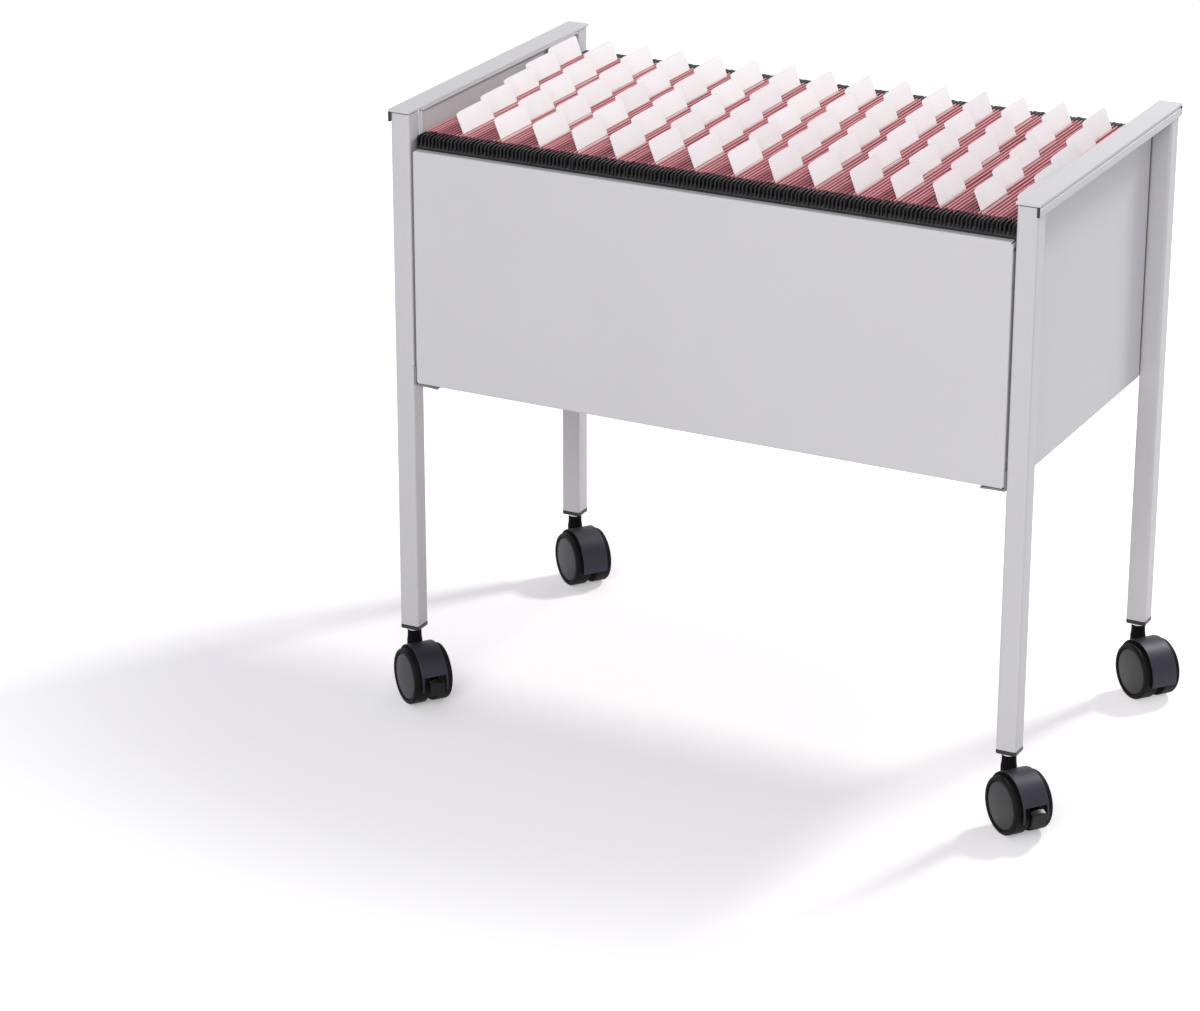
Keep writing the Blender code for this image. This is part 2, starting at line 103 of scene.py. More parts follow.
class TrolleyFrameSettings(PropertyGroup):
    """Sizes and colours of the legs, caps, panels, brackets and rails."""

    leg_radius: length("Leg corner radius", "Outer radius of the tube's corners", 2.5)
    leg_wall: length("Leg wall", "Wall of the square tube", 1.5)
    cap_seam: length("Seam under cap", "Gap between the legs and the cap's plate", 0.9)
    plate: length("Cap plate", "Thickness of the cap's plate", 2.5)
    skirt: length("Cap skirt", "Thickness of the cap's outer skirt", 1.5)
    groove_height: length("Groove height", "Height of the groove along the cap's skirt", 2.8)
    groove_depth: length("Groove depth", "Depth of the groove along the cap's skirt", 1.15)
    sheet: length("Sheet", "Thickness of the panels' sheet", 1.2)
    bend: length("Bend radius", "Outer radius of the panels' folds", 1.7)
    front_reach: length("Front reach", "How much nearer the side sheets come to the front legs", 1.2)
    rear_gap: length("Rear gap", "How much shorter the side sheets are at the rear legs", 0.8)
    bracket: length("Bracket sheet", "Thickness of the brackets", 1.9)
    droop: length("Bracket droop", "How far a bracket's free end is bent down", 0.7)
    bead_height: length("Rail bead", "Height of the bead along the rail", 1.4)
    bead_depth: length("Rail bead depth", "How far the rail's bead stands out", 0.25)
    paint: colour("Frame paint", "the legs", (0.56, 0.56, 0.565))
    # The caps take the frame's paint made lighter: painted light for the extra light that their tops catch.
    cap_paint: colour("Cap paint", "the caps", (0.60, 0.60, 0.605))
    panel_paint: colour("Panel paint", "the panels", (0.585, 0.585, 0.59))
    # The brackets' dark grey is partly their own paint and partly painted shade, for the shadow under the
    # panels' bottom corners.
    bracket_paint: colour("Bracket paint", "the brackets", (0.20, 0.20, 0.21))


class TrolleyFileSettings(PropertyGroup):
    """Sizes and colours of the hanging files."""

    files: IntProperty(name="Files in a pack", description="Files in each pack", default=5, min=1)
    end_cut: length("Card end cut", "How far the card's upper corners are cut back", 9)
    ridge: length("Ridge width", "Width of the card where it wraps a bar", 1.9)
    ridge_spread: length("Ridge spread", "Distance of a ridge from its file's middle", 2)
    mouth_depth: length("Mouth depth", "Depth of the mouth between two ridges", 13)
    body_half: length("Half thickness", "Half the thickness of a filled file", 3.4)
    hook_thickness: length("Hook thickness", "Thickness of one end hook", 1.5)
    tab_length: length("Tab length", "Length of a label tab", 60)
    tab_height: length("Tab height", "Height of a label tab", 20.2)
    tab_thickness: length("Tab thickness", "Thickness of a label tab", 0.8)
    tab_corner: length("Tab corner", "Radius of a tab's upper corners", 3.5)
    tab_bow: length("Tab bow", "How far a tab bows along its length", 0.35)
    card: colour("Card", "the folders' card", (0.54, 0.150, 0.180))
    label: colour("Label", "the label tabs", (0.935, 0.93, 0.93))


class TrolleyCastorSettings(PropertyGroup):
    """Sizes and colours of the castors."""

    hood_wall: length("Hood wall", "Thickness of the hood over the wheels", 2.4)
    hood_half: length("Hood half width", "Half the width of the hood", 14)
    hood_edge: length("Hood edge", "Radius of the hood's outer edges", 1.1)
    flare: length("Collar flare", "How far the collar widens at the hood", 0.7)
    washer: length("Washer radius", "Radius of the steel washer on the stem", 6.9)
    disc_radius: length("Disc radius", "Radius of the disc in a wheel's face", 23.2)
    dome: length("Disc dome", "How far the disc is domed", 1.4)
    mouth_half: length("Pedal mouth", "Half the width of the hood's opening", 11.6)
    pedal_half: length("Pedal", "Half the width of the pedal", 7.6)
    crown: length("Pedal crown", "How much lower the pedal's sides are", 1)
    black: colour("Black plastic", "the plugs, rails and hooks", (0.012, 0.012, 0.013))
    # The hoods' plastic is black; their faint lilac cast is painted light, for the bluish light around them.
    hood: colour("Hood plastic", "the castors' hoods", (0.010, 0.0095, 0.0140))
    tyre: colour("Tyre", "the wheels' treads", (0.0035, 0.0035, 0.0038))
    disc: colour("Wheel disc", "the wheels' outer faces", (0.011, 0.011, 0.0125))
    steel: colour("Bright steel", "the stems and axles", (0.72, 0.72, 0.73))


class TrolleyStageSettings(PropertyGroup):
    """Floor, light and camera."""

    floor_size: length("Floor size", "Side of the square floor", 24000)
    floor_colour: colour("Floor", "the floor", (0.80, 0.80, 0.80))
    floor_glow: amount("Floor glow", "White that the camera adds to the floor", 0.262)
    key_power: amount("Key light", "Power of the rear right light, in watts", 44)
    front_power: amount("Front light", "Power of the broad front light, in watts", 148)
    world: amount("Surroundings", "Strength of the light from all around", 0.47)
    tint: colour("Tint", "the light from all around", (0.86, 0.84, 1.0))
    lens: amount("Lens", "Focal length in millimetres", 120)


GROUPS = {
    "trolley_frame": TrolleyFrameSettings,
    "trolley_files": TrolleyFileSettings,
    "trolley_castors": TrolleyCastorSettings,
    "trolley_stage": TrolleyStageSettings,
}


# Node trees


class Wire:
    """A socket in a node tree. Arithmetic on it adds Math nodes to the tree."""

    def __init__(self, tree, socket):
        self.tree = tree
        self.socket = socket

    def math(self, operation, first, second):
        return add_node(self.tree, "ShaderNodeMath", {"operation": operation}, {0: first, 1: second})

    def __add__(self, other):
        return self.math("ADD", self, other)

    __radd__ = __add__

    def __rsub__(self, other):
        return self.math("SUBTRACT", other, self)

    def __mul__(self, other):
        return self.math("MULTIPLY", self, other)

    __rmul__ = __mul__


def add_node(tree, kind, settings, inputs, output=0):
    """Adds a node with its settings and its sockets' values or links, and returns an output."""
    node = tree.nodes.new(kind)
    for name, value in settings.items():
        setattr(node, name, value)
    for key, value in inputs.items():
        if isinstance(value, Wire):
            tree.links.new(value.socket, node.inputs[key])
        else:
            node.inputs[key].default_value = value
    return Wire(tree, node.outputs[output]) if node.outputs else None


class Finish:
    """A material around one Principled shader, worked out from places on the piece."""

    def __init__(self, name, specular=0.5, metallic=0.0):
        self.material = bpy.data.materials.new(name)
        self.material.use_nodes = True
        self.tree = self.material.node_tree
        self.shader = self.tree.nodes["Principled BSDF"]
        self.place = self.node("ShaderNodeTexCoord", {}, {}, "Object")
        self.shader.inputs["Specular IOR Level"].default_value = specular
        self.shader.inputs["Metallic"].default_value = metallic

    def node(self, kind, settings, inputs, output=0):
        return add_node(self.tree, kind, settings, inputs, output)

    def attribute(self, name):
        return self.node("ShaderNodeAttribute", {"attribute_name": name}, {}, "Fac")

    def noise(self, scale, detail, roughness, stretch=None):
        place = self.place
        if stretch:
            place = self.node("ShaderNodeMapping", {}, {"Vector": place, "Scale": stretch})
        inputs = {"Vector": place, "Scale": scale, "Detail": detail, "Roughness": roughness}
        return self.node("ShaderNodeTexNoise", {}, inputs)

    def mix(self, factor, first, second):
        """Blends two colours, each a wire or a shade."""
        return self.node("ShaderNodeMix", {"data_type": "RGBA"}, {0: factor, 6: first, 7: second}, 2)

    def bump(self, height, distance, strength, normal=None):
        """A bump node. The distance is in millimetres."""
        inputs = {"Height": height, "Distance": distance * MM, "Strength": strength}
        if normal:
            inputs["Normal"] = normal
        return self.node("ShaderNodeBump", {}, inputs)

    def done(self, tone, roughness, normal):
        """Feeds the shader, and returns the material."""
        for socket, wire in (("Base Color", tone), ("Roughness", roughness), ("Normal", normal)):
            self.tree.links.new(wire.socket, self.shader.inputs[socket])
        return self.material


def shade(tone, factor):
    return (*(min(1, channel * factor) for channel in tone), 1)


def paint_finish(name, tone, roughness):
    """Satin powder coat: a fine orange peel, faint cloudiness and a slightly uneven sheen."""
    finish = Finish(name)
    cloud = finish.noise(9, 3, 0.55)
    speck = finish.noise(1500, 2, 0.6)
    tint = finish.mix(cloud, shade(tone, 0.965), shade(tone, 1.035))
    tint = finish.mix(speck * 0.5, tint, shade(tone, 0.95))
    sheen = roughness - 0.05 + cloud * 0.07 + speck * 0.05
    fine = finish.bump(speck, 0.004, 0.5)
    return finish.done(tint, sheen, finish.bump(finish.noise(620, 2, 0.5), 0.012, 0.6, fine))


def plastic_finish(name, tone, roughness, grain, specular, sheen=(1, 1, 1)):
    """Moulded plastic with a fine grain and a soft, slightly uneven sheen."""
    finish = Finish(name, specular)
    # A tinted reflection colour is a painted reflection colour of the light around.
    finish.shader.inputs["Specular Tint"].default_value = (*sheen, 1)
    cloud = finish.noise(60, 3, 0.6)
    pores = finish.node("ShaderNodeTexVoronoi", {}, {"Vector": finish.place, "Scale": grain})
    tint = finish.mix(cloud, shade(tone, 0.80), shade(tone, 1.25))
    return finish.done(tint, roughness - 0.04 + cloud * 0.10, finish.bump(pores, 0.010, 0.5))


def steel_finish(name, tone):
    """Bright plated steel with faint turning marks."""
    finish = Finish(name, metallic=1.0)
    marks = finish.noise(900, 3, 0.6, (1, 1, 12))
    tint = finish.mix(marks, shade(tone, 0.88), shade(tone, 1))
    return finish.done(tint, 0.18 + marks * 0.14, finish.bump(marks, 0.003, 0.4))


def card_finish(name, tone):
    """Coloured card in tones that differ at random from file to file, with fibres; flanks darker and ridge
    tops paler, as painted shade between files and a painted highlight on the crests.
    """
    finish = Finish(name, specular=0.35)
    fibres = finish.noise(420, 4, 0.65, (1, 0.18, 1))
    # Darker flanks: the files' random tones, kept low as painted shade in the gaps between files.
    body = finish.mix(finish.attribute("tone"), shade(tone, 0.50), shade(tone, 0.85))
    pale = [0.5 * channel + 0.5 * lift for channel, lift in zip(tone, (0.95, 0.55, 0.57))] + [1]
    # Paler ridge tops: a painted highlight where light falls on the crests.
    crest_highlight = finish.mix(finish.attribute("crest") * (0.30 + fibres * 0.7), body, pale)
    tint = finish.mix(fibres * 0.35, crest_highlight, shade(tone, 0.62))
    return finish.done(tint, 0.62 + fibres * 0.2, finish.bump(fibres, 0.05, 0.5))


def label_finish(name, tone):
    """White paper label behind a clear, faintly glossy holder."""
    finish = Finish(name, specular=0.45)
    paper = finish.attribute("paper")
    fibres = finish.noise(700, 4, 0.6)
    sheet = finish.mix(finish.attribute("tone"), shade(tone, 0.955), shade(tone, 1))
    tint = finish.mix(paper, shade(tone, 0.90), finish.mix(fibres * 0.3, sheet, shade(tone, 0.94)))
    return finish.done(tint, 0.30 + paper * 0.16 + fibres * 0.1, finish.bump(fibres, 0.01, 0.4))


FINISHES = {}


MAKERS = {
    "satin_frame_paint": (paint_finish, "frame", "paint", 0.40),
    "satin_cap_paint": (paint_finish, "frame", "cap_paint", 0.52),
    "satin_panel_paint": (paint_finish, "frame", "panel_paint", 0.46),
    "bracket_paint": (paint_finish, "frame", "bracket_paint", 0.50),
    "black_moulding": (plastic_finish, "castors", "black", 0.36, 2200, 0.50),
    # The hoods' lilac reflection tint is a painted reflection of the bluish light around them.
    "hood_moulding": (plastic_finish, "castors", "hood", 0.47, 1800, 0.52, (0.80, 0.78, 1.0)),
    # Black for the hoods' neck and sides, which stands in as painted shade.
    "matt_black": (plastic_finish, "castors", "tyre", 0.60, 1500, 0.06),
    "tyre_rubber": (plastic_finish, "castors", "tyre", 0.55, 1500, 0.12),
    "pedal_moulding": (plastic_finish, "castors", "tyre", 0.30, 1500, 0.22),
    "hook_moulding": (plastic_finish, "castors", "black", 0.40, 1500, 0.22),
    "wheel_moulding": (plastic_finish, "castors", "disc", 0.45, 2200, 0.50),
    "plated_steel": (steel_finish, "castors", "steel"),
    "folder_card": (card_finish, "files", "card"),
    "label_tab": (label_finish, "files", "label"),
}


def finish_named(name):
    """The material of this name, made from the settings when it is first asked for."""
    if name not in FINISHES:
        maker, group, setting, *rest = MAKERS[name]
        tone = getattr(getattr(bpy.context.scene, f"trolley_{group}"), setting)
        FINISHES[name] = maker(name, tone, *rest)
    return FINISHES[name]


# Meshes


def linked(name, data):
    """An object with this data, in the scene."""
    obj = bpy.data.objects.new(name, data)
    bpy.context.scene.collection.objects.link(obj)
    return obj


def mesh_from(bm, name, clean=True):
    """A mesh of what bm holds, cleaned by merging doubled corners and turning faces outwards."""
    if clean:
        bmesh.ops.remove_doubles(bm, verts=bm.verts, dist=WELD)
        bmesh.ops.recalc_face_normals(bm, faces=bm.faces)
    mesh = bpy.data.meshes.new(name)
    bm.to_mesh(mesh)
    bm.free()
    return mesh


def settled(helper, mesh):
    """The helper's shape with its modifiers applied, as a plain mesh. Both are removed."""
    bpy.context.view_layer.update()
    graph = bpy.context.evaluated_depsgraph_get()
    result = bpy.data.meshes.new_from_object(helper.evaluated_get(graph))
    result.name = mesh.name
    helper.modifiers.clear()
    bpy.data.objects.remove(helper)
    return result


def baked(mesh, *modifiers):
    """The mesh with modifiers applied. Each is a type and its settings."""
    helper = linked(mesh.name, mesh)
    for kind, settings in modifiers:
        modifier = helper.modifiers.new(kind.lower(), kind)
        for name, value in settings.items():
            setattr(modifier, name, value)
    return settled(helper, mesh)


def shaded(mesh):
    """Smooth shading that keeps flat faces flat and real edges sharp."""
    mesh.shade_smooth()
    mesh.set_sharp_from_angle(angle=SHARP_ANGLE)
    return baked(mesh, ("WEIGHTED_NORMAL", {"keep_sharp": True}))


def combined(mesh, *steps):
    """Joins and cuts meshes in turn. Each step is an operation and the mesh that it takes."""
    tools = [linked(other.name, other) for operation, other in steps]
    modifiers = [
        ("BOOLEAN", {"operation": step[0], "solver": "EXACT", "object": tool})
        for step, tool in zip(steps, tools)
    ]
    bm = bmesh.new()
    bm.from_mesh(baked(mesh, *modifiers))
    for tool in tools:
        bpy.data.objects.remove(tool)
    return mesh_from(bm, mesh.name)


def bridge(bm, first, second, spans):
    """Faces between two rings of corners."""
    for index in range(spans):
        after = (index + 1) % len(first)
        bm.faces.new((first[index], first[after], second[after], second[index]))


def arc(centre, radius, start, end, steps):
    """Points from one angle to another, in degrees, about a centre."""
    angles = [math.radians(start + (end - start) * step / steps) for step in range(steps + 1)]
    return [(centre[0] + radius * math.cos(a), centre[1] + radius * math.sin(a)) for a in angles]


def rounded_square(side, radius, steps):
    reach = side / 2 - radius
    points = []
    for quarter, (across, up) in enumerate(((1, 1), (-1, 1), (-1, -1), (1, -1))):
        points += arc((across * reach, up * reach), radius, 90 * quarter, 90 * quarter + 90, steps)
    return points


def rounded_outline(points, radii, steps):
    """A closed outline with each corner rounded by its own radius, in millimetres."""
    result = []
    for index, corner in enumerate(points):
        here = Vector(corner)
        before = (Vector(points[index - 1]) - here).normalized()
        after = (Vector(points[(index + 1) % len(points)]) - here).normalized()
        radius = radii[index] * MM
        half = before.angle(after) / 2
        if radius == 0 or half > STRAIGHT:
            result.append(tuple(here))
            continue
        cut = radius / math.tan(half)
        first, last = here + before * cut, here + after * cut
        for step in range(steps + 1):
            share = step / steps
            bent = first * (1 - share) ** 2 + here * 2 * share * (1 - share) + last * share**2
            result.append(tuple(bent))
    return result


def extruded(name, outline, low, high, plane, edge=0.0):
    """A closed outline drawn out from low to high across its plane, with its end edges eased."""
    order = {"XY": (0, 1, 2), "XZ": (0, 2, 1), "YZ": (2, 0, 1)}[plane]
    bm = bmesh.new()
    rings = [[bm.verts.new([(a, b, c)[axis] for axis in order]) for a, b in outline] for c in (low, high)]
    ends = [bm.faces.new(ring) for ring in rings]
    bridge(bm, *rings, len(outline))
    bmesh.ops.recalc_face_normals(bm, faces=bm.faces)
    if edge:
        rims = [rim for face in ends for rim in face.edges]
        bmesh.ops.bevel(bm, geom=rims, offset=edge, segments=2, profile=0.5, affect="EDGES")
    return mesh_from(bm, name)


def eased_box(name, low, high, radius=0.0):
    bm = bmesh.new()
    bmesh.ops.create_cube(bm, size=1)
    size = [top - bottom for bottom, top in zip(low, high)]
    bmesh.ops.scale(bm, vec=size, verts=bm.verts)
    bmesh.ops.translate(bm, vec=[(a + b) / 2 for a, b in zip(low, high)], verts=bm.verts)
    if radius:
        bmesh.ops.bevel(bm, geom=bm.edges[:], offset=radius, segments=2, profile=0.5, affect="EDGES")
    return mesh_from(bm, name)


def turned(name, profile, steps, start=0.0, sweep=360.0):
    """Turns (radius, height) points about Z. A sweep short of a full turn is closed at its ends."""
    bm = bmesh.new()
    whole = sweep == 360
    count = steps if whole else steps + 1
    angles = [math.radians(start + sweep * step / steps) for step in range(count)]
    rings = [[bm.verts.new((r * math.cos(a), r * math.sin(a), z)) for r, z in profile] for a in angles]
    closed = not whole or profile[0] == profile[-1]
    spans = len(profile) if closed else len(profile) - 1
    for step in range(steps):
        bridge(bm, rings[step], rings[(step + 1) % count], spans)
    if not whole:
        bm.faces.new(rings[0])
        bm.faces.new(rings[-1])
    bmesh.ops.remove_doubles(bm, verts=bm.verts, dist=WELD)
    bmesh.ops.dissolve_degenerate(bm, dist=WELD, edges=bm.edges)
    loose = [edge for edge in bm.edges if not edge.link_faces]
    bmesh.ops.delete(bm, geom=loose, context="EDGES")
    return mesh_from(bm, name)


def rod(name, radius, low, high, steps):
    """A round bar about Z."""
    return turned(name, [(0, low), (radius, low), (radius, high), (0, high)], steps)


def moved(mesh, matrix):
    mesh.transform(matrix)
    return mesh


def joined(name, meshes):
    bm = bmesh.new()
    for mesh in meshes:
        bm.from_mesh(mesh)
    return mesh_from(bm, name, clean=False)


def set_piece(name, mesh, finishes, body, slot, *nodes):
    """Puts a finished mesh in the scene as a piece that rides on a body."""
    obj = linked(name, mesh)
    indices = [0] * len(mesh.polygons)
    mesh.polygons.foreach_get("material_index", indices)
    mesh.materials.clear()
    for finish in finishes:
        mesh.materials.append(finish_named(finish))
    mesh.polygons.foreach_set("material_index", indices)
    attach(obj, body)
    if nodes:
        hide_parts(*nodes)


def hand(name):
    """1 for the right side and -1 for the left."""
    return 1 if "right" in name else -1


# Frame


def leg_tube(parts, low, high):
    """A leg of square tube, open at both ends, that stops a seam short of the cap."""
    side = high.x - low.x
    middle = ((low.x + high.x) / 2, (low.y + high.y) / 2, 0)
    ease = 0.3 * MM
    top = high.z - parts.cap_seam
    levels = [(low.z, ease), (low.z + ease, 0), (top - ease, 0), (top, ease)]
    outlines = [(z, rounded_square(side - 2 * inset, parts.leg_radius - inset, 8)) for z, inset in levels]
    bore = rounded_square(side - 2 * parts.leg_wall, parts.leg_radius - parts.leg_wall, 8)
    outlines += [(top, bore), (low.z, bore)]
    bm = bmesh.new()
    rings = [[bm.verts.new((x, y, z)) for x, y in outline] for z, outline in outlines]
    for index, ring in enumerate(rings):
        bridge(bm, ring, rings[(index + 1) % len(rings)], len(ring))
    return moved(shaded(mesh_from(bm, "leg")), Matrix.Translation(middle))


def cap_outline(parts, inner, outer, top, bottom):
    """End view of the right cap: a plate, and a skirt with a groove under the plate's edge."""
    skirt, floor = outer - parts.skirt, outer - parts.groove_depth
    under = top - parts.plate
    groove = under - parts.groove_height
    points = [(inner, under), (skirt, under), (skirt, bottom), (outer, bottom), (outer, groove)]
    points += [(floor, groove + 0.3 * MM), (floor, under), (outer, under + 0.2 * MM)]
    points += [(outer, top), (inner, top)]
    return rounded_outline(points, [0.15, 0, 0.15, 0.15, 0.15, 0, 0, 0.15, 0.3, 0.3], 3)


def sheet_tray(name, parts, width, height, fold):
    """A face in the XZ plane with its four edges bent back by fold and open at the corners."""
    bend = parts.bend
    angles = [math.radians(90 * step / BEND_STEPS) for step in range(1, BEND_STEPS + 1)]
    section = [(bend * math.sin(a), bend * (1 - math.cos(a))) for a in angles] + [(bend, fold)]
    across, up = width / 2 - bend, height / 2 - bend
    bm = bmesh.new()
    corners = [bm.verts.new((x * across, 0, z * up)) for x, z in ((-1, -1), (1, -1), (1, 1), (-1, 1))]
    bm.faces.new(corners)
    for index, away in enumerate(((0, 0, -1), (1, 0, 0), (0, 0, 1), (-1, 0, 0))):
        ends = edge = (corners[index], corners[(index + 1) % 4])
        for reach, back in section:
            shift = Vector(away) * reach + Vector((0, back, 0))
            fresh = [bm.verts.new(end.co + shift) for end in ends]
            bm.faces.new((*edge, *reversed(fresh)))
            edge = fresh
    mesh = mesh_from(bm, name)
    if mesh.polygons[0].normal.y > 0:
        mesh.flip_normals()
    thick = ("SOLIDIFY", {"thickness": parts.sheet, "offset": -1, "use_even_offset": True})
    return shaded(baked(mesh, thick))


def rail_outline(parts, inner, foot_reach, top, bottom):
    """End view of the rear rail: a rounded blade with a bead along its outer face, and a foot."""
    outer, foot, bead = inner + RAIL_BLADE, bottom + 2 * MM, top - 3.6 * MM
    height, depth = parts.bead_height, parts.bead_depth
    points = [(inner, bottom), (foot_reach, bottom), (foot_reach, foot), (outer, foot)]
    points += [(outer, bead - height), (outer + depth, bead - height / 2), (outer, bead)]
    points += [(outer, top), (inner, top)]
    return rounded_outline(points, [0, 0.4, 0.4, 0, 0, 0.3, 0, 1.1, 1.1], 4)


# Files


def folder_mesh(files, half_length, top, bottom):
    """One filled file that hangs open between its two ridges, drawn in end view."""
    spread, half_ridge, half = files.ridge_spread, files.ridge / 2, files.body_half
    crest = top - half_ridge
    root = crest - 2.5 * MM
    right = [(0.5 * MM, bottom), (half * 0.75, bottom + 5 * MM), (half, bottom + 30 * MM)]
    right += [(half, top - 70 * MM), (spread + half_ridge * 0.8, top - 16 * MM)]
    right.append((spread + half_ridge * 0.72, root))
    right += arc((spread, crest), half_ridge, -20, 200, 6)
    right += [(spread - half_ridge * 0.72, root), (0.35 * MM, top - files.mouth_depth)]
    left = [(-x, z) for x, z in reversed(right)]
    mesh = extruded("folder", right + left, -half_length, half_length, "XZ")
    cut_depth, cut_slope = 18 * MM, 6 * MM
    for vertex in mesh.vertices:
        share = (vertex.co.z - top + cut_depth) / cut_slope
        cut = files.end_cut * min(1, max(0, share))
        vertex.co.y -= math.copysign(cut, vertex.co.y)
    # Marks the ridge tops, which the card's finish paints paler as a painted highlight.
    store(mesh, "crest", [float(vertex.co.z > crest - 0.2 * MM) for vertex in mesh.vertices])
    return shaded(mesh)


def store(mesh, name, values):
    mesh.attributes.new(name, "FLOAT", "POINT").data.foreach_set("value", values)


def hook_mesh(files, root, rail_outer, reach, seat, top, end):
    """A bar's end: a plastic hook that crosses the rail and turns down behind it."""
    inside, tip = rail_outer + 0.4 * MM, seat - 3 * MM
    points = [(root, seat), (inside, seat), (inside, tip), (reach, tip)]
    points += [(reach, top - 1.5 * MM), (reach - 4.5 * MM, top), (root, top)]
    outline = rounded_outline(points, [0, 0, 0.3, 0.8, 1.5, 2, 0], 2)
    half = files.hook_thickness / 2
    return shaded(extruded("hook", [(end * y, z) for y, z in outline], -half, half, "YZ"))


def tab_mesh(files, lean):
    """A bowed label tab with rounded upper corners and its paper set in a rim."""
    half, top, corner = files.tab_length / 2, files.tab_height, files.tab_corner
    rim, foot, curl = 1.2 * MM, -2.5 * MM, 0.5 * MM
    inner, spans = half - rim, 10
    stops = [-half] + [-inner + 2 * inner * step / spans for step in range(spans + 1)] + [half]
    bm = bmesh.new()
    columns = []
    for y in stops:
        bow = files.tab_bow * math.cos(1.5 * math.pi * y / half)
        near_end = max(0.0, abs(y) - (half - corner))
        limit = top - (corner - math.sqrt(max(0.0, corner**2 - near_end**2)))
        rows = []
        for z in (foot, 1.5 * MM, top / 2, min(top - rim - corner * 0.2, limit - 0.4 * MM), limit):
            rise = max(0.0, z / top)
            back = bow * rise + curl * rise**2
            rows.append([bm.verts.new((side * files.tab_thickness - back, y, z)) for side in (0.5, -0.5)])
        columns.append(rows)
    for this, other in zip(columns, columns[1:]):
        for row in range(len(this) - 1):
            for layer in (0, 1):
                ring = (this[row], other[row], other[row + 1], this[row + 1])
                bm.faces.new([pair[layer] for pair in ring])
    border = [rows[0] for rows in columns[:-1]] + columns[-1][:-1]
    border += [rows[-1] for rows in columns[:0:-1]] + columns[0][:0:-1]
    for here, after in zip(border, border[1:] + border[:1]):
        bm.faces.new((here[0], after[0], after[1], here[1]))
    mesh = mesh_from(bm, "tab")
    inside = [abs(v.co.y) < half - rim / 2 and 1 * MM < v.co.z < top - rim for v in mesh.vertices]
    store(mesh, "paper", [float(value) for value in inside])
    return shaded(moved(mesh, Matrix.Rotation(-lean, 4, "Y")))


ROW_INPUTS = {
    "Piece": "Geometry",
    "Count": "Int",
    "Start": "Vector",
    "Step": "Vector",
    "Stray": "Vector",
    "Lean": "Float",
    "Seed": "Int",
    "Finish": "Material",
}


def row_tree():
    """Geometry nodes for a row of copies, each a little out of line and with its own tone."""
    tree = bpy.data.node_groups.new("row of copies", "GeometryNodeTree")
    for name, kind in ROW_INPUTS.items():
        tree.interface.new_socket(name, in_out="INPUT", socket_type=f"NodeSocket{kind}")
    tree.interface.new_socket("Row", in_out="OUTPUT", socket_type="NodeSocketGeometry")
    given = tree.nodes.new("NodeGroupInput").outputs
    piece, count, start, step, stray, lean, seed, finish = (Wire(tree, given[name]) for name in ROW_INPUTS)
    node = partial(add_node, tree)
    places = {"Count": count, "Start Location": start, "Offset": step}
    line = node("GeometryNodeMeshLine", {"mode": "OFFSET"}, places)
    back = node("ShaderNodeVectorMath", {"operation": "SCALE"}, {0: stray, "Scale": -1.0})
    offset = node("FunctionNodeRandomValue", {"data_type": "FLOAT_VECTOR"}, {0: back, 1: stray, 8: seed})
    shifted = node("GeometryNodeSetPosition", {}, {"Geometry": line, "Offset": offset})
    number = {"data_type": "FLOAT"}
    tilt = node("FunctionNodeRandomValue", number, {2: lean * -1.0, 3: lean, 8: seed + 7}, 1)
    turn = node("ShaderNodeCombineXYZ", {}, {"Y": tilt})
    copied = {"Points": shifted, "Instance": piece, "Rotation": turn}
    copies = node("GeometryNodeInstanceOnPoints", {}, copied)
    tone = node("FunctionNodeRandomValue", number, {2: 0.0, 3: 1.0, 8: seed + 3}, 1)
    named = {"Geometry": copies, "Name": "tone", "Value": tone}
    toned = node("GeometryNodeStoreNamedAttribute", {"data_type": "FLOAT", "domain": "INSTANCE"}, named)
    real = node("GeometryNodeRealizeInstances", {}, {"Geometry": toned})
    coloured = node("GeometryNodeSetMaterial", {}, {"Geometry": real, "Material": finish})
    node("NodeGroupOutput", {}, {"Row": coloured})
    return tree


def row_of(mesh, finish, count, start, step, stray, lean, seed):
    """The mesh repeated by the row's nodes, as a plain mesh. The stray is in millimetres."""
    helper = linked(mesh.name, mesh)
    modifier = helper.modifiers.new("row", "NODES")
    modifier.node_group = bpy.data.node_groups.get("row of copies") or row_tree()
    values = (count, start, step, [value * MM for value in stray], lean, seed, finish_named(finish))
    given = dict(zip(list(ROW_INPUTS)[1:], values))
    for item in modifier.node_group.interface.items_tree:
        if item.name in given:
            modifier[item.identifier] = given[item.name]
    return settled(helper, mesh)


# Castors


def stem_place(corner):
    """Moves a piece about Z to the axis of this corner's stem."""
    return Matrix.Translation((*JOINTS[f"{corner}_swivel"]["pos_m"][:2], 0))


def castor_place(corner):
    """Turns a castor's own axes, trailing along +X from its stem at the origin, into the trolley's."""
    across = Vector(JOINTS[f"{corner}_inner_wheel_roll"]["axis"])
    up = Vector((0, 0, 1))
    turn = Matrix((across.cross(up), across, up)).transposed().to_4x4()
    return stem_place(corner) @ turn


def castor_sizes(corner, joint="inner_wheel_roll"):
    """A joint's place behind the stem and above the floor, in the castor's own axes."""
    away = Vector(JOINTS[f"{corner}_{joint}"]["pos_m"]) - Vector(JOINTS[f"{corner}_swivel"]["pos_m"])
    return math.hypot(away.x, away.y), JOINTS[f"{corner}_{joint}"]["pos_m"][2]


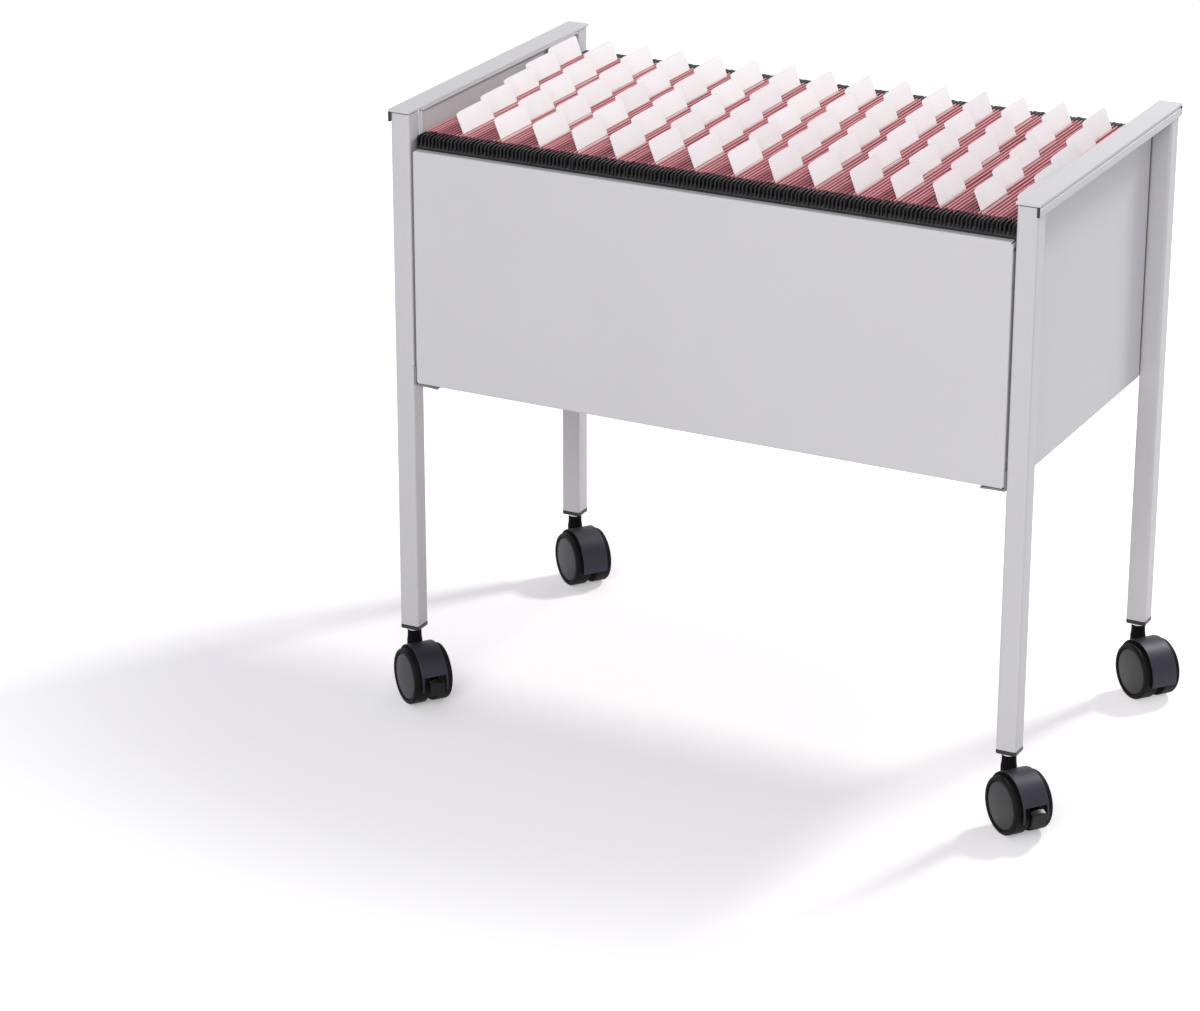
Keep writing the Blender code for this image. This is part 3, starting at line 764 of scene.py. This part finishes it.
def hood_mesh(castors, corner, braked):
    """The hood over the wheels, the web between them and the collar round the stem."""
    trail, axle_height = castor_sizes(corner)
    to_axle = Matrix.Translation((trail, 0, axle_height)) @ Matrix.Rotation(math.pi / 2, 4, "X")
    well, web, half, edge = 28.9 * MM, 3.5 * MM, castors.hood_half, castors.hood_edge
    outer = well + castors.hood_wall
    inside = well - 2 * MM
    lowest, highest = -14, 155
    shell = [(inside, -half), (inside, half)]
    shell += arc((outer - edge, half - edge), edge, 90, 0, 5)
    shell += arc((outer - edge, -half + edge), edge, 0, -90, 5)
    hood = moved(turned("hood", shell, 60, lowest, highest - lowest), to_axle)
    side = arc((0, 0), well + castors.hood_wall / 2, lowest + 1, highest - 1, 48)
    side += arc((0, 0), 9 * MM, 178, 310, 11)
    plate = moved(extruded("web", side, -web - 1 * MM, web + 1 * MM, "XY"), to_axle)
    neck, foot, waist, floor, top = 6.9 * MM, 40 * MM, 57 * MM, 54 * MM, 68.1 * MM
    collar = [(0, foot), (neck + castors.flare, foot), (neck + castors.flare, waist)]
    for share in [step / 8 for step in range(1, 9)]:
        collar.append((neck + castors.flare * (1 - share) ** 2.2, waist + 7 * MM * share))
    collar += [(neck, top - 0.6 * MM), (neck - 0.5 * MM, top)]
    collar += [(STEM_BORE, top), (STEM_BORE, floor), (0, floor)]
    steps = [("UNION", plate), ("UNION", turned("collar", collar, 48))]
    for name, radius, low, high, sides in (
        ("well", well, -40 * MM, -web, 96),
        ("well", well, web, 40 * MM, 96),
        ("axle_bore", AXLE_BORE, -web * 2, web * 2, 24),
    ):
        steps.append(("DIFFERENCE", moved(rod(name, radius, low, high, sides), to_axle)))
    pocket = ("pocket", 15.5 * MM, 2.6 * MM, -12 * MM, 6.9 * MM)
    mouth = ("mouth", 23.5 * MM, castors.mouth_half, -35 * MM, 8.2 * MM)
    for name, start, wide, low, high in (pocket, mouth) if braked else ():
        near = (trail + start, -wide, axle_height + low)
        steps.append(("DIFFERENCE", eased_box(name, near, (trail + 40 * MM, wide, axle_height + high))))
    mesh = shaded(combined(hood, *steps))
    # The neck and the hood's sides beside the wheels take the second, black finish: painted shade for the
    # shadow under the leg and between hood and wheels.
    for polygon in mesh.polygons:
        centre = polygon.center
        neck_in_painted_shade = math.hypot(centre.x, centre.y) < 9 * MM and centre.z > 51 * MM
        neck_in_painted_shade = neck_in_painted_shade and (abs(polygon.normal.z) < 0.35 or centre.z > top - 1 * MM)
        side_in_painted_shade = abs(polygon.normal.y) > 0.7 and abs(centre.y) > half - 1 * MM
        polygon.material_index = int(neck_in_painted_shade or side_in_painted_shade)
    return mesh


def wheel_mesh(castors):
    """A wheel about Z, with its inner face at zero: a rounded tread and a domed disc."""
    radius, width, disc, dome = 28 * MM, 17 * MM, castors.disc_radius, castors.dome
    small, large, shoulder = 1.4 * MM, 2.4 * MM, 1.5 * MM
    rim, groove, hub_depth = disc + 0.9 * MM, width - 1.6 * MM, 12 * MM
    profile = [(AXLE_BORE, 0), (radius - small, 0)]
    profile += arc((radius - small, small), small, -90, 0, 4)[1:]
    profile += arc((radius - large, width - 3 * MM), large, 0, 68, 5)
    profile += [(rim, width - 0.8 * MM), (rim - 0.2 * MM, groove), (disc, groove)]
    profile += arc((disc - shoulder, width - dome - shoulder), shoulder, 0, 78, 5)
    flat = profile[-1][0]
    for r in [flat * (1 - step / 8) for step in range(1, 9)]:
        profile.append((r, width - dome * (r / flat) ** 2))
    profile += [(0, hub_depth), (AXLE_BORE, hub_depth), (AXLE_BORE, 0)]
    mesh = shaded(turned("wheel", profile, 96))
    for polygon in mesh.polygons:
        centre = polygon.center
        polygon.material_index = int(math.hypot(centre.x, centre.y) < disc and centre.z > width / 2)
    return mesh


def crowned(mesh, half, crown):
    """The mesh cut across into strips, and lowered towards its two sides."""
    bm = bmesh.new()
    bm.from_mesh(mesh)
    for step in range(-3, 4):
        everything = bm.verts[:] + bm.edges[:] + bm.faces[:]
        bmesh.ops.bisect_plane(bm, geom=everything, plane_co=(0, step * half / 4, 0), plane_no=(0, 1, 0))
    for vert in bm.verts:
        vert.co.z -= crown * (vert.co.y / half) ** 2
    return mesh_from(bm, mesh.name)


def pedal_mesh(castors, corner):
    """The brake lever: an arm through the hood, and a pedal whose top slopes outwards."""
    arm = [(-2.5, -2.5), (2.5, -2.5), (12.5, -2), (12.5, 7), (-2.5, 2.5)]
    pedal = [(10.9, -4.5), (12.8, -4.5), (16.8, 9.8), (10.9, 12.5)]
    arm, pedal = ([(a * MM, b * MM) for a, b in points] for points in (arm, pedal))
    arm = extruded("arm", rounded_outline(arm, [0.8] * 5, 3), -2.3 * MM, 2.3 * MM, "XZ")
    half = castors.pedal_half
    pedal = rounded_outline(pedal, [0.6, 0.9, 1.4, 0.6], 4)
    pedal = extruded("pedal", pedal, -half, half, "XZ", 0.8 * MM)
    pin = moved(rod("pin", 1.3 * MM, -3.4 * MM, 3.4 * MM, 24), Matrix.Rotation(math.pi / 2, 4, "X"))
    along, height = castor_sizes(corner, "brake_press")
    lever = shaded(combined(crowned(pedal, half, castors.crown), ("UNION", arm), ("UNION", pin)))
    return moved(lever, Matrix.Translation((along, 0, height)))


def plug_mesh(corner):
    """The plug in a leg's foot: an eased flange, and a square shank with a bore."""
    low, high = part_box(f"{corner}_leg_insert")
    outline = rounded_square(high.x - low.x + 0.6 * MM, 2.8 * MM, 6)
    flange = extruded("flange", outline, low.z - 1.1 * MM, low.z + 2.5 * MM, "XY", 0.6 * MM)
    half = 8.2 * MM
    shank = eased_box("shank", (-half, -half, low.z + 1 * MM), (half, half, high.z), 0.6 * MM)
    bore = rod("bore", STEM_BORE, low.z - 2 * MM, high.z - 6 * MM, 32)
    return shaded(combined(flange, ("UNION", shank), ("DIFFERENCE", bore)))


def stem_mesh(castors, corner):
    """The steel stem with the washer that shows between the plug and the castor's collar."""
    low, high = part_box(f"{corner}_castor_stem")
    shaft, washer, ease, under, over = 4 * MM, castors.washer, 0.35 * MM, 68.25 * MM, 71.1 * MM
    profile = [(0, low.z), (shaft - ease, low.z), (shaft, low.z + ease), (shaft, under)]
    profile += [(washer - ease, under), (washer, under + ease), (washer, over - ease), (washer - ease, over)]
    profile += [(shaft, over), (shaft, high.z - ease), (shaft - ease, high.z), (0, high.z)]
    return shaded(turned("stem", profile, 48))


# Operators


class TROLLEY_OT_legs(Operator):
    """Makes the four square tube legs."""

    bl_idname = "trolley.legs"
    bl_label = "Legs"

    def execute(self, context):
        for corner in CORNERS:
            node = f"{corner}_leg"
            mesh = leg_tube(context.scene.trolley_frame, *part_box(node))
            set_piece(f"{corner}_tube", mesh, ["satin_frame_paint"], "frame", "frame_paint", node)
        return {"FINISHED"}


class TROLLEY_OT_caps(Operator):
    """Makes the two grooved caps along the tops of the legs, with black blocks in their ends that are
    painted shade for the dark hollow skirt ends.
    """

    bl_idname = "trolley.caps"
    bl_label = "Caps"

    def execute(self, context):
        parts = context.scene.trolley_frame
        for side in ("left", "right"):
            node = f"{side}_top_cap"
            low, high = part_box(node)
            sign = hand(node)
            inner, outer = sorted((sign * low.x, sign * high.x))
            outline = [(sign * x, z) for x, z in cap_outline(parts, inner, outer, high.z, low.z)]
            meshes = [shaded(extruded(f"{side}_cap", outline, low.y, high.y, "XZ", 0.15 * MM))]
            # Black blocks at both ends of the skirt: painted shade, standing in for the dark hollow at each
            # end of the skirt.
            near, far = sorted((sign * (outer - 2.6 * MM), sign * (outer + 0.1 * MM)))
            bottom, top = low.z + 0.2 * MM, high.z - parts.plate + 0.1 * MM
            for end in (low.y, high.y):
                box = ((near, end - 0.5 * MM, bottom), (far, end + 0.5 * MM, top))
                plug = shaded(eased_box("end_plug", *box, 0.25 * MM))
                plug.polygons.foreach_set("material_index", [1] * len(plug.polygons))
                meshes.append(plug)
            finishes = ["satin_cap_paint", "black_moulding"]
            mesh = joined(f"{side}_cap", meshes)
            set_piece(f"{side}_grooved_cap", mesh, finishes, "frame", "frame_paint", node)
        return {"FINISHED"}


class TROLLEY_OT_panels(Operator):
    """Makes the four folded sheet panels."""

    bl_idname = "trolley.panels"
    bl_label = "Panels"

    def execute(self, context):
        parts = context.scene.trolley_frame
        turns = {"front": 0, "rear": math.pi, "right": math.pi / 2, "left": -math.pi / 2}
        for name, turn in turns.items():
            node = f"{name}_panel"
            low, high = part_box(node)
            size, middle = high - low, (low + high) / 2
            width, fold = size.x, size.y
            if name in ("right", "left"):
                width, fold = size.y + (parts.front_reach - parts.rear_gap), size.x
                middle.y -= (parts.front_reach + parts.rear_gap) / 2
            mesh = sheet_tray(f"{name}_sheet", parts, width, size.z, fold)
            face = Matrix.Translation((0, -fold / 2, 0))
            moved(mesh, Matrix.Translation(middle) @ Matrix.Rotation(turn, 4, "Z") @ face)
            set_piece(f"{name}_folded_sheet", mesh, ["satin_panel_paint"], "frame", "panel_paint", node)
        return {"FINISHED"}


class TROLLEY_OT_brackets(Operator):
    """Makes the bent angle brackets under the corners of the long panels."""

    bl_idname = "trolley.brackets"
    bl_label = "Brackets"

    def execute(self, context):
        parts = context.scene.trolley_frame
        thick, droop = parts.bracket, parts.droop
        for corner in CORNERS:
            node = f"{corner}_bracket"
            low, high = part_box(node)
            end, height = high.x - low.x, high.z - low.z
            bent = end * 0.55
            points = [(0, 0), (0, height), (-thick, height), (-thick, thick), (-bent, thick)]
            points += [(-end, thick - droop), (-end, -droop), (-bent, 0)]
            outline = rounded_outline(points, [2.2, 0.3, 0.3, 0.6, 4, 0.5, 0.5, 4], 5)
            sign = hand(corner)
            leg_face = high.x if sign > 0 else low.x
            placed = [(leg_face + sign * x, low.z + z) for x, z in outline]
            mesh = shaded(extruded(f"{corner}_angle", placed, low.y, high.y, "XZ", 0.3 * MM))
            set_piece(f"{corner}_angle", mesh, ["bracket_paint"], "frame", "bracket_paint", node)
        return {"FINISHED"}


class TROLLEY_OT_rails(Operator):
    """Makes the two black rails that the files hang on."""

    bl_idname = "trolley.rails"
    bl_label = "Hanging rails"

    def execute(self, context):
        gap = 2.2 * MM
        for end, sign in (("front", -1), ("rear", 1)):
            node = f"{end}_hanging_rail"
            low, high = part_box(node)
            inner, foot = sorted((sign * low.y, sign * high.y))
            outline = rail_outline(context.scene.trolley_frame, inner, foot, high.z, low.z)
            outline = [(sign * y, z) for y, z in outline]
            mesh = shaded(extruded(f"{end}_rail", outline, low.x + gap, high.x - gap, "YZ"))
            set_piece(f"{end}_beaded_rail", mesh, ["black_moulding"], "frame", "black_plastic", node)
        return {"FINISHED"}


class TROLLEY_OT_files(Operator):
    """Makes the hanging files: folders, end hooks and label tabs, one pack at a time."""

    bl_idname = "trolley.files"
    bl_label = "Hanging files"

    def execute(self, context):
        files = context.scene.trolley_files
        count = files.files
        rail_low, rail_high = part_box("rear_hanging_rail")
        pack_low, pack_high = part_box(PACKS[0])
        centre_y = (pack_low.y + pack_high.y) / 2
        rail_inner = rail_low.y - centre_y
        seat = rail_high.z + 0.3 * MM
        bar_top = seat + 7.5 * MM
        card_top = bar_top + 0.6 * MM
        half_length = rail_inner - 1.2 * MM
        reach = (pack_high.y - pack_low.y) / 2
        pitch = (pack_high.x - pack_low.x) / count
        first = -pitch * (count - 1) / 2
        root = half_length - files.end_cut - 3 * MM
        hook = partial(hook_mesh, files, root, rail_inner + RAIL_BLADE, reach, seat, bar_top)
        folder = folder_mesh(files, half_length, card_top, pack_low.z)
        hooks = joined("hooks", [hook(-1), hook(1)])
        tab = tab_mesh(files, math.asin(pitch * 0.85 / files.tab_height))
        start, step = (first, 0, 0), (pitch, 0, 0)
        hook_start, hook_step = (first - files.ridge_spread, 0, 0), (pitch / 2, 0, 0)
        tab_start = (first + (pitch * 0.15 + 0.9 * MM), files.tab_length * (count - 1) / 2, card_top)
        tab_step = (pitch, -files.tab_length, 0)
        rows = {
            "folders": (folder, "folder_card", count, start, step, (0.18, 0, 0.25), 0.0, 0),
            "hooks": (hooks, "hook_moulding", 2 * count, hook_start, hook_step, (0.35, 0.8, 0.3), 0.0, 0),
            "tabs": (tab, "label_tab", count, tab_start, tab_step, (0.25, 0.3, 0.15), 0.03, 40),
        }
        for index, node in enumerate(PACKS):
            low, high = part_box(node)
            place = Matrix.Translation(((low.x + high.x) / 2, centre_y, 0))
            for name, (mesh, finish, *values, seed) in rows.items():
                row = moved(row_of(mesh, finish, *values, index + seed), place)
                slot = "black_plastic" if name == "hooks" else "folder_card"
                nodes = [node] if name == "folders" else []
                set_piece(f"{node}_{name}", row, [finish], node, slot, *nodes)
        return {"FINISHED"}


class TROLLEY_OT_plugs(Operator):
    """Makes the black plugs in the feet of the legs, and the castors' steel stems."""

    bl_idname = "trolley.plugs"
    bl_label = "Plugs and stems"

    def execute(self, context):
        castors = context.scene.trolley_castors
        for corner in CORNERS:
            place = stem_place(corner)
            plug, node = moved(plug_mesh(corner), place), f"{corner}_leg_insert"
            set_piece(f"{corner}_plug", plug, ["black_moulding"], "frame", "black_plastic", node)
            stem, node = moved(stem_mesh(castors, corner), place), f"{corner}_castor_stem"
            set_piece(f"{corner}_stem", stem, ["plated_steel"], "frame", "bright_steel", node)
        return {"FINISHED"}


class TROLLEY_OT_castors(Operator):
    """Makes the castors' hoods, wheels and brake pedals, and finishes their axles."""

    bl_idname = "trolley.castors"
    bl_label = "Castors"

    def execute(self, context):
        castors = context.scene.trolley_castors
        for corner in CORNERS:
            mesh = moved(hood_mesh(castors, corner, corner in BRAKED), castor_place(corner))
            finishes, node = ["hood_moulding", "matt_black"], f"{corner}_castor_housing"
            set_piece(f"{corner}_hood", mesh, finishes, f"{corner}_castor", "black_plastic", node)
            axle = frame["nodes"][f"{corner}_axle"].data
            axle.materials.clear()
            axle.materials.append(finish_named("plated_steel"))
        inner_face = 4 * MM
        for corner in CORNERS:
            trail, axle_height = castor_sizes(corner)
            for side, sign in (("inner", 1), ("outer", -1)):
                turn = Matrix.Rotation(-sign * math.pi / 2, 4, "X")
                offset = Matrix.Translation((trail, sign * inner_face, axle_height))
                mesh = moved(wheel_mesh(castors), castor_place(corner) @ offset @ turn)
                finishes, node = ["tyre_rubber", "wheel_moulding"], f"{corner}_{side}_wheel"
                set_piece(f"{corner}_{side}_roller", mesh, finishes, node, "wheel_plastic", node)
        for corner in BRAKED:
            mesh, node = moved(pedal_mesh(castors, corner), castor_place(corner)), f"{corner}_brake_lever"
            set_piece(f"{corner}_pedal", mesh, ["pedal_moulding"], node, "black_plastic", node)
        return {"FINISHED"}


class TROLLEY_OT_stage(Operator):
    """Makes the floor, the lights, the surroundings and the camera."""

    bl_idname = "trolley.stage"
    bl_label = "Stage"

    def execute(self, context):
        stage = context.scene.trolley_stage
        add_floor(stage)
        add_surroundings(stage)
        add_light("key", stage.key_power, (0.38, 0.38), (0.88, 1.80, 1.98))
        add_light("front", stage.front_power, (3.4, 2.6), (0.9, -4.4, 2.7))
        add_camera(stage)
        context.scene.view_settings.view_transform = "Standard"
        return {"FINISHED"}


def background_rays(tree):
    """1 for the rays that see a white background: the camera's, and those in gloss or through glass."""
    path = tree.nodes.new("ShaderNodeLightPath")
    kinds = ("Camera", "Glossy", "Transmission")
    camera, gloss, glass = (Wire(tree, path.outputs[f"Is {kind} Ray"]) for kind in kinds)
    return camera.math("MAXIMUM", camera.math("MAXIMUM", camera, gloss), glass)


def shader_tree(block):
    """The block's node tree, emptied."""
    block.use_nodes = True
    block.node_tree.nodes.clear()
    return block.node_tree


def add_floor(stage):
    """A floor that keeps the shadow, and glows white to the camera; the glow rises further out, painted
    light that fades the far shadow.
    """
    bm = bmesh.new()
    bmesh.ops.create_grid(bm, x_segments=4, y_segments=4, size=stage.floor_size / 2)
    floor = linked("floor", mesh_from(bm, "floor", clean=False))
    material = bpy.data.materials.new("pale_floor")
    tree = shader_tree(material)
    node = partial(add_node, tree)
    diffuse = node("ShaderNodeBsdfDiffuse", {}, {"Color": (*stage.floor_colour, 1)})
    place = node("ShaderNodeTexCoord", {}, {}, "Object")
    # Painted light: the glow grows over an oval round the trolley, so the shadow fades out away from it.
    painted_light_oval = {"Vector": place, "Location": (0.165, 0.24, 0), "Scale": (1.1, 1.6, 0)}
    place = node("ShaderNodeMapping", {}, painted_light_oval)
    reach = node("ShaderNodeVectorMath", {"operation": "LENGTH"}, {0: place}, "Value")
    near, far, lift = 0.38, 0.98, 0.28
    rise = {0: reach, 1: near, 2: far, 3: stage.floor_glow, 4: stage.floor_glow + lift}
    smooth = {"interpolation_type": "SMOOTHSTEP"}
    strength = background_rays(tree) * node("ShaderNodeMapRange", smooth, rise)
    glow = node("ShaderNodeEmission", {}, {"Color": WHITE, "Strength": strength})
    both = node("ShaderNodeAddShader", {}, {0: diffuse, 1: glow})
    node("ShaderNodeOutputMaterial", {}, {"Surface": both})
    floor.data.materials.append(material)


def add_surroundings(stage):
    """Even light from all around, which shows as white to the camera and in reflections."""
    world = bpy.data.worlds.new("surroundings")
    tree = shader_tree(world)
    seen = background_rays(tree)
    mixed = {0: seen, 6: (*stage.tint, 1), 7: WHITE}
    tint = add_node(tree, "ShaderNodeMix", {"data_type": "RGBA"}, mixed, 2)
    strength = seen + (1 - seen) * stage.world
    light = add_node(tree, "ShaderNodeBackground", {}, {"Color": tint, "Strength": strength})
    add_node(tree, "ShaderNodeOutputWorld", {}, {"Surface": light})
    bpy.context.scene.world = world


def add_light(name, power, size, location):
    """A rectangular lamp that points at the trolley."""
    data = bpy.data.lights.new(name, "AREA")
    data.shape = "RECTANGLE"
    data.size, data.size_y = size
    data.energy = power
    data.color = LAMP_TONE
    lamp = linked(name, data)
    lamp.location = location
    lamp.rotation_euler = (AIM - Vector(location)).to_track_quat("-Z", "Y").to_euler()


def add_camera(stage):
    data = bpy.data.cameras.new("camera")
    data.sensor_width = 36
    data.lens = stage.lens
    data.clip_end = 100
    camera = linked("camera", data)
    camera.location = CAMERA_PLACE
    camera.rotation_euler = [math.radians(angle) for angle in CAMERA_TURN]
    bpy.context.scene.camera = camera


OPERATORS = [
    TROLLEY_OT_legs,
    TROLLEY_OT_caps,
    TROLLEY_OT_panels,
    TROLLEY_OT_brackets,
    TROLLEY_OT_rails,
    TROLLEY_OT_files,
    TROLLEY_OT_plugs,
    TROLLEY_OT_castors,
    TROLLEY_OT_stage,
]


class TROLLEY_PT_panel(Panel):
    """Lists the trolley's pieces in the sidebar."""

    bl_idname = "TROLLEY_PT_panel"
    bl_label = "Hanging File Trolley"
    bl_space_type = "VIEW_3D"
    bl_region_type = "UI"
    bl_category = "Trolley"

    def draw(self, context):
        for operator in OPERATORS:
            self.layout.operator(operator.bl_idname)


def register():
    for cls in [*GROUPS.values(), *OPERATORS, TROLLEY_PT_panel]:
        bpy.utils.register_class(cls)
    for name, group in GROUPS.items():
        setattr(bpy.types.Scene, name, PointerProperty(type=group))


def unregister():
    for name in GROUPS:
        delattr(bpy.types.Scene, name)
    for cls in reversed([*GROUPS.values(), *OPERATORS, TROLLEY_PT_panel]):
        bpy.utils.unregister_class(cls)


def main():
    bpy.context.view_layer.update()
    register()
    for operator in OPERATORS:
        family, name = operator.bl_idname.split(".")
        getattr(getattr(bpy.ops, family), name)()


if __name__ == "__main__":
    main()
